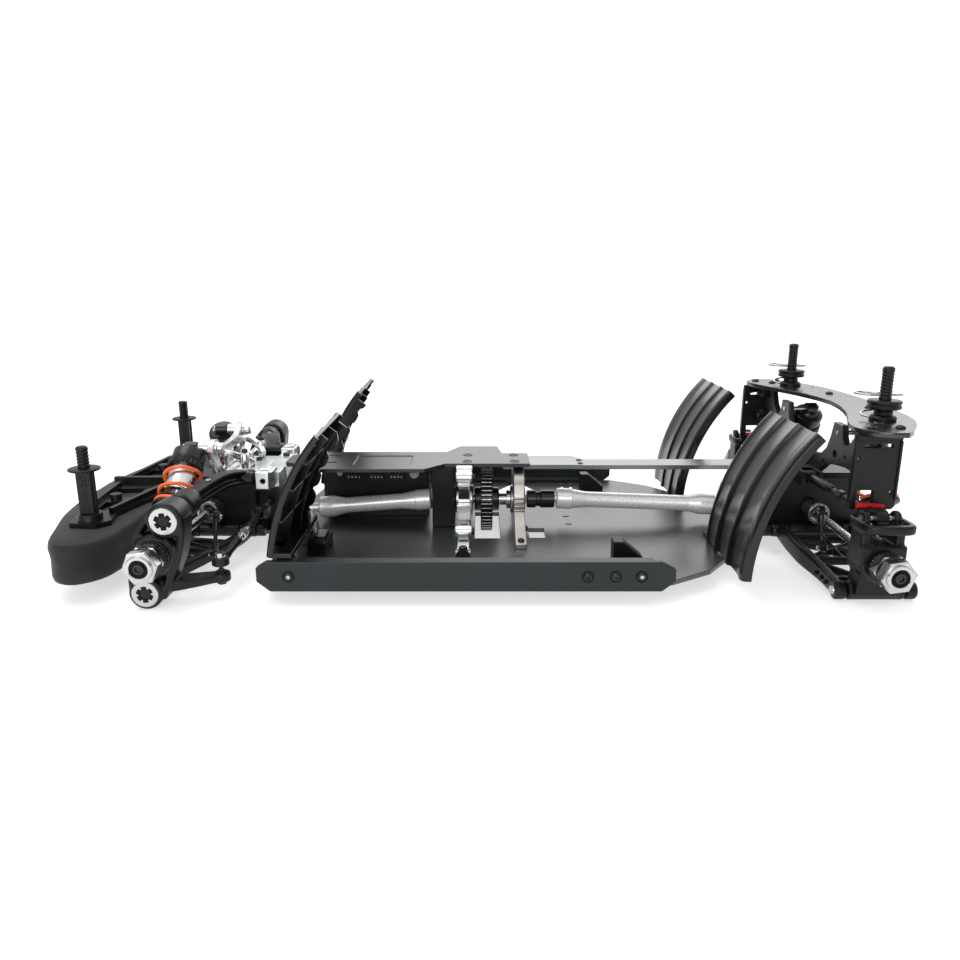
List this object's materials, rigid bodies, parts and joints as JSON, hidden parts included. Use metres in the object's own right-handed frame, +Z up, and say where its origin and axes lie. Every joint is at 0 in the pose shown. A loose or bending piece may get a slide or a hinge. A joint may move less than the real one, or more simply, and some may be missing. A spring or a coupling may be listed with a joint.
{
  "type": "rc drift car chassis",
  "caption": "Rolling chassis of a radio controlled drift car: plate frame, drive shafts, sprung arms with steering uprights, foam bumper and body posts, without wheels or shell.",
  "frame": {"origin": "middle of the overall length and width, on the floor the chassis stands on", "axes": "+X towards the rear of the car, +Y towards its right side, +Z up"},
  "size_m": [0.539, 0.292, 0.1285],
  "materials": {
    "plate_black": "hard anodised, satin",
    "deck_grey": "anodised, brushed",
    "silver_aluminium": "bright anodised",
    "moulded_black": "glass filled nylon, satin",
    "guard_black": "moulded, semi gloss",
    "foam_black": "closed cell foam with a smooth skin",
    "steel": "machined",
    "spring_orange": "powder coated",
    "gear_black": "moulded gear",
    "liner_white": "acetal"
  },
  "bodies": {
    "chassis": {"chassis_plate": "plate_black", "side_guards": "guard_black", "upper_deck": "deck_grey", "rear_brace": "deck_grey", "gearboxes": "moulded_black", "front_tower": "silver_aluminium", "upper_arm_mount": "silver_aluminium", "rear_tower": "deck_grey", "side_plates": "moulded_black", "rear_top_plate": "deck_grey", "front_bumper": "foam_black", "bumper_brace": "moulded_black", "body_posts": "moulded_black", "body_clips": "steel", "mud_guards": "guard_black", "centre_mounts": "silver_aluminium", "radio_boxes": "moulded_black", "fasteners": "steel"},
    "centre_gear": {"spur_gear": "gear_black"},
    "front_propshaft": {"front_shaft": "silver_aluminium"},
    "rear_propshaft": {"rear_shaft": "silver_aluminium"},
    "front_axle": {"front_spool": "steel"},
    "rear_axle": {"rear_spool": "steel"},
    "rack": {"steering_rack": "steel"},
    "front_arm_right": {"front_lower_arm_right": "moulded_black"},
    "front_top_arm_right": {"front_upper_arm_right": "moulded_black"},
    "front_liner_right": {"front_ball_liner_right": "liner_white"},
    "front_knuckle_right": {"front_upright_right": "moulded_black"},
    "front_wheel_hub_right": {"front_hub_right": "steel"},
    "front_drive_right": {"front_half_shaft_right": "steel"},
    "tie_right": {"tie_rod_right": "moulded_black"},
    "front_damper_right": {"front_shock_body_right": "silver_aluminium", "front_spring_right": "spring_orange"},
    "front_piston_right": {"front_shock_shaft_right": "steel"},
    "rear_arm_right": {"rear_lower_arm_right": "moulded_black"},
    "rear_link_right": {"rear_upper_link_right": "moulded_black"},
    "rear_knuckle_right": {"rear_carrier_right": "moulded_black"},
    "rear_wheel_hub_right": {"rear_hub_right": "steel"},
    "rear_drive_right": {"rear_half_shaft_right": "steel"},
    "rear_damper_right": {"rear_shock_body_right": "silver_aluminium", "rear_spring_right": "spring_orange"},
    "rear_piston_right": {"rear_shock_shaft_right": "steel"},
    "front_arm_left": {"front_lower_arm_left": "moulded_black"},
    "front_top_arm_left": {"front_upper_arm_left": "moulded_black"},
    "front_liner_left": {"front_ball_liner_left": "liner_white"},
    "front_knuckle_left": {"front_upright_left": "moulded_black"},
    "front_wheel_hub_left": {"front_hub_left": "steel"},
    "front_drive_left": {"front_half_shaft_left": "steel"},
    "tie_left": {"tie_rod_left": "moulded_black"},
    "front_damper_left": {"front_shock_body_left": "silver_aluminium", "front_spring_left": "spring_orange"},
    "front_piston_left": {"front_shock_shaft_left": "steel"},
    "rear_arm_left": {"rear_lower_arm_left": "moulded_black"},
    "rear_link_left": {"rear_upper_link_left": "moulded_black"},
    "rear_knuckle_left": {"rear_carrier_left": "moulded_black"},
    "rear_wheel_hub_left": {"rear_hub_left": "steel"},
    "rear_drive_left": {"rear_half_shaft_left": "steel"},
    "rear_damper_left": {"rear_shock_body_left": "silver_aluminium", "rear_spring_left": "spring_orange"},
    "rear_piston_left": {"rear_shock_shaft_left": "steel"}
  },
  "joints": [
    {"name": "centre_spin", "type": "hinge", "parent": "chassis", "child": "centre_gear", "pos_m": [0, 0, 0.028], "axis": [1, 0, 0], "continuous": true},
    {"name": "front_prop_spin", "type": "hinge", "parent": "chassis", "child": "front_propshaft", "pos_m": [-0.038, 0, 0.028], "axis": [0.9971, 0, 0.0757], "continuous": true},
    {"name": "rear_prop_spin", "type": "hinge", "parent": "chassis", "child": "rear_propshaft", "pos_m": [0.047, 0, 0.0285], "axis": [0.9992, 0, -0.0396], "continuous": true},
    {"name": "front_axle_spin", "type": "hinge", "parent": "chassis", "child": "front_axle", "pos_m": [-0.184, 0, 0.0282], "axis": [0, 1, 0], "continuous": true},
    {"name": "rear_axle_spin", "type": "hinge", "parent": "chassis", "child": "rear_axle", "pos_m": [0.216, 0, 0.028], "axis": [0, 1, 0], "continuous": true},
    {"name": "rack_slide", "type": "slide", "parent": "chassis", "child": "rack", "axis": [0, 1, 0], "range_m": [-0.0105, 0.0105]},
    {"name": "front_arm_lift_right", "type": "hinge", "parent": "chassis", "child": "front_arm_right", "pos_m": [-0.184, 0.027, 0.014], "axis": [1, 0, 0], "range_deg": [0, 7], "stiffness_Nm_per_rad": 2, "springref_deg": -28.65},
    {"name": "front_top_lift_right", "type": "hinge", "parent": "chassis", "child": "front_top_arm_right", "pos_m": [-0.157, 0.038, 0.054], "axis": [1, 0, 0], "range_deg": [0, 8.34]},
    {"name": "front_liner_tilt_right", "type": "hinge", "parent": "front_arm_right", "child": "front_liner_right", "pos_m": [-0.19, 0.113, 0.0095], "axis": [1, 0, 0], "range_deg": [-7.3, 0]},
    {"name": "front_steer_right", "type": "hinge", "parent": "front_liner_right", "child": "front_knuckle_right", "pos_m": [-0.19, 0.113, 0.0095], "axis": [0.3162, 0, 0.9487], "range_deg": [-20, 20]},
    {"name": "front_hub_spin_right", "type": "hinge", "parent": "front_knuckle_right", "child": "front_wheel_hub_right", "pos_m": [-0.184, 0.113, 0.031], "axis": [0, 1, 0], "continuous": true},
    {"name": "front_drive_spin_right", "type": "hinge", "parent": "front_arm_right", "child": "front_drive_right", "pos_m": [-0.184, 0.0305, 0.0282], "axis": [0, 0.9994, 0.0339], "continuous": true},
    {"name": "tie_lift_right", "type": "hinge", "parent": "rack", "child": "tie_right", "pos_m": [-0.148, 0.04, 0.03], "axis": [1, 0, 0], "range_deg": [0, 9.51]},
    {"name": "front_damper_swing_right", "type": "hinge", "parent": "chassis", "child": "front_damper_right", "pos_m": [-0.1915, 0.031, 0.071], "axis": [1, 0, 0], "range_deg": [0, 3.87]},
    {"name": "front_piston_slide_right", "type": "slide", "parent": "front_damper_right", "child": "front_piston_right", "axis": [0.0863, -0.7305, 0.6774], "range_m": [0, 0.0059], "deforming": ["front_spring_right"]},
    {"name": "rear_arm_lift_right", "type": "hinge", "parent": "chassis", "child": "rear_arm_right", "pos_m": [0.216, 0.03, 0.015], "axis": [1, 0, 0], "range_deg": [0, 6], "stiffness_Nm_per_rad": 2.5, "springref_deg": -28.65},
    {"name": "rear_link_lift_right", "type": "hinge", "parent": "chassis", "child": "rear_link_right", "pos_m": [0.206, 0.04, 0.054], "axis": [1, 0, 0], "range_deg": [0, 6.72]},
    {"name": "rear_knuckle_tilt_right", "type": "hinge", "parent": "rear_arm_right", "child": "rear_knuckle_right", "pos_m": [0.216, 0.11, 0.0055], "axis": [1, 0, 0], "range_deg": [-6.3, 0]},
    {"name": "rear_hub_spin_right", "type": "hinge", "parent": "rear_knuckle_right", "child": "rear_wheel_hub_right", "pos_m": [0.216, 0.11, 0.025], "axis": [0, 1, 0], "continuous": true},
    {"name": "rear_drive_spin_right", "type": "hinge", "parent": "rear_arm_right", "child": "rear_drive_right", "pos_m": [0.216, 0.0325, 0.028], "axis": [0, 0.9993, -0.0387], "continuous": true},
    {"name": "rear_damper_swing_right", "type": "hinge", "parent": "chassis", "child": "rear_damper_right", "pos_m": [0.237, 0.045, 0.084], "axis": [1, 0, 0], "range_deg": [0, 2.2]},
    {"name": "rear_piston_slide_right", "type": "slide", "parent": "rear_damper_right", "child": "rear_piston_right", "axis": [0, -0.5335, 0.8458], "range_m": [0, 0.00558], "deforming": ["rear_spring_right"]},
    {"name": "front_arm_lift_left", "type": "hinge", "parent": "chassis", "child": "front_arm_left", "pos_m": [-0.184, -0.027, 0.014], "axis": [-1, 0, 0], "range_deg": [0, 7], "stiffness_Nm_per_rad": 2, "springref_deg": -28.65},
    {"name": "front_top_lift_left", "type": "hinge", "parent": "chassis", "child": "front_top_arm_left", "pos_m": [-0.157, -0.038, 0.054], "axis": [-1, 0, 0], "range_deg": [0, 8.34]},
    {"name": "front_liner_tilt_left", "type": "hinge", "parent": "front_arm_left", "child": "front_liner_left", "pos_m": [-0.19, -0.113, 0.0095], "axis": [-1, 0, 0], "range_deg": [-7.3, 0]},
    {"name": "front_steer_left", "type": "hinge", "parent": "front_liner_left", "child": "front_knuckle_left", "pos_m": [-0.19, -0.113, 0.0095], "axis": [0.3162, 0, 0.9487], "range_deg": [-20, 20]},
    {"name": "front_hub_spin_left", "type": "hinge", "parent": "front_knuckle_left", "child": "front_wheel_hub_left", "pos_m": [-0.184, -0.113, 0.031], "axis": [0, 1, 0], "continuous": true},
    {"name": "front_drive_spin_left", "type": "hinge", "parent": "front_arm_left", "child": "front_drive_left", "pos_m": [-0.184, -0.0305, 0.0282], "axis": [0, 0.9994, -0.0339], "continuous": true},
    {"name": "tie_lift_left", "type": "hinge", "parent": "rack", "child": "tie_left", "pos_m": [-0.148, -0.04, 0.03], "axis": [-1, 0, 0], "range_deg": [0, 9.51]},
    {"name": "front_damper_swing_left", "type": "hinge", "parent": "chassis", "child": "front_damper_left", "pos_m": [-0.1915, -0.031, 0.071], "axis": [-1, 0, 0], "range_deg": [0, 3.87]},
    {"name": "front_piston_slide_left", "type": "slide", "parent": "front_damper_left", "child": "front_piston_left", "axis": [0.0863, 0.7305, 0.6774], "range_m": [0, 0.0059], "deforming": ["front_spring_left"]},
    {"name": "rear_arm_lift_left", "type": "hinge", "parent": "chassis", "child": "rear_arm_left", "pos_m": [0.216, -0.03, 0.015], "axis": [-1, 0, 0], "range_deg": [0, 6], "stiffness_Nm_per_rad": 2.5, "springref_deg": -28.65},
    {"name": "rear_link_lift_left", "type": "hinge", "parent": "chassis", "child": "rear_link_left", "pos_m": [0.206, -0.04, 0.054], "axis": [-1, 0, 0], "range_deg": [0, 6.72]},
    {"name": "rear_knuckle_tilt_left", "type": "hinge", "parent": "rear_arm_left", "child": "rear_knuckle_left", "pos_m": [0.216, -0.11, 0.0055], "axis": [-1, 0, 0], "range_deg": [-6.3, 0]},
    {"name": "rear_hub_spin_left", "type": "hinge", "parent": "rear_knuckle_left", "child": "rear_wheel_hub_left", "pos_m": [0.216, -0.11, 0.025], "axis": [0, 1, 0], "continuous": true},
    {"name": "rear_drive_spin_left", "type": "hinge", "parent": "rear_arm_left", "child": "rear_drive_left", "pos_m": [0.216, -0.0325, 0.028], "axis": [0, 0.9993, 0.0387], "continuous": true},
    {"name": "rear_damper_swing_left", "type": "hinge", "parent": "chassis", "child": "rear_damper_left", "pos_m": [0.237, -0.045, 0.084], "axis": [-1, 0, 0], "range_deg": [0, 2.2]},
    {"name": "rear_piston_slide_left", "type": "slide", "parent": "rear_damper_left", "child": "rear_piston_left", "axis": [0, 0.5335, 0.8458], "range_m": [0, 0.00558], "deforming": ["rear_spring_left"]}
  ],
  "couplings": [
    {"joint": "front_prop_spin", "follows": "centre_spin", "ratio": 1},
    {"joint": "rear_prop_spin", "follows": "centre_spin", "ratio": 1},
    {"joint": "front_axle_spin", "follows": "centre_spin", "ratio": -0.30233},
    {"joint": "rear_axle_spin", "follows": "centre_spin", "ratio": -0.30233},
    {"joint": "front_top_lift_right", "follows": "front_arm_lift_right", "ratio": 1.1486},
    {"joint": "front_liner_tilt_right", "follows": "front_arm_lift_right", "ratio": -1},
    {"joint": "front_steer_right", "follows": "rack_slide", "rad_per_m": 32.8},
    {"joint": "front_hub_spin_right", "follows": "centre_spin", "ratio": -0.30233},
    {"joint": "front_drive_spin_right", "follows": "centre_spin", "ratio": -0.30233},
    {"joint": "tie_lift_right", "follows": "front_arm_lift_right", "ratio": 1.3151},
    {"joint": "front_damper_swing_right", "follows": "front_arm_lift_right", "ratio": 0.52418},
    {"joint": "front_piston_slide_right", "follows": "front_arm_lift_right", "m_per_rad": 0.045802},
    {"joint": "rear_link_lift_right", "follows": "rear_arm_lift_right", "ratio": 1.0704},
    {"joint": "rear_knuckle_tilt_right", "follows": "rear_arm_lift_right", "ratio": -1},
    {"joint": "rear_hub_spin_right", "follows": "centre_spin", "ratio": -0.30233},
    {"joint": "rear_drive_spin_right", "follows": "centre_spin", "ratio": -0.30233},
    {"joint": "rear_damper_swing_right", "follows": "rear_arm_lift_right", "ratio": 0.33336},
    {"joint": "rear_piston_slide_right", "follows": "rear_arm_lift_right", "m_per_rad": 0.050378},
    {"joint": "front_top_lift_left", "follows": "front_arm_lift_left", "ratio": 1.1486},
    {"joint": "front_liner_tilt_left", "follows": "front_arm_lift_left", "ratio": -1},
    {"joint": "front_steer_left", "follows": "rack_slide", "rad_per_m": 32.8},
    {"joint": "front_hub_spin_left", "follows": "centre_spin", "ratio": -0.30233},
    {"joint": "front_drive_spin_left", "follows": "centre_spin", "ratio": -0.30233},
    {"joint": "tie_lift_left", "follows": "front_arm_lift_left", "ratio": 1.3151},
    {"joint": "front_damper_swing_left", "follows": "front_arm_lift_left", "ratio": 0.52418},
    {"joint": "front_piston_slide_left", "follows": "front_arm_lift_left", "m_per_rad": 0.045802},
    {"joint": "rear_link_lift_left", "follows": "rear_arm_lift_left", "ratio": 1.0704},
    {"joint": "rear_knuckle_tilt_left", "follows": "rear_arm_lift_left", "ratio": -1},
    {"joint": "rear_hub_spin_left", "follows": "centre_spin", "ratio": -0.30233},
    {"joint": "rear_drive_spin_left", "follows": "centre_spin", "ratio": -0.30233},
    {"joint": "rear_damper_swing_left", "follows": "rear_arm_lift_left", "ratio": 0.33336},
    {"joint": "rear_piston_slide_left", "follows": "rear_arm_lift_left", "m_per_rad": 0.050378}
  ]
}
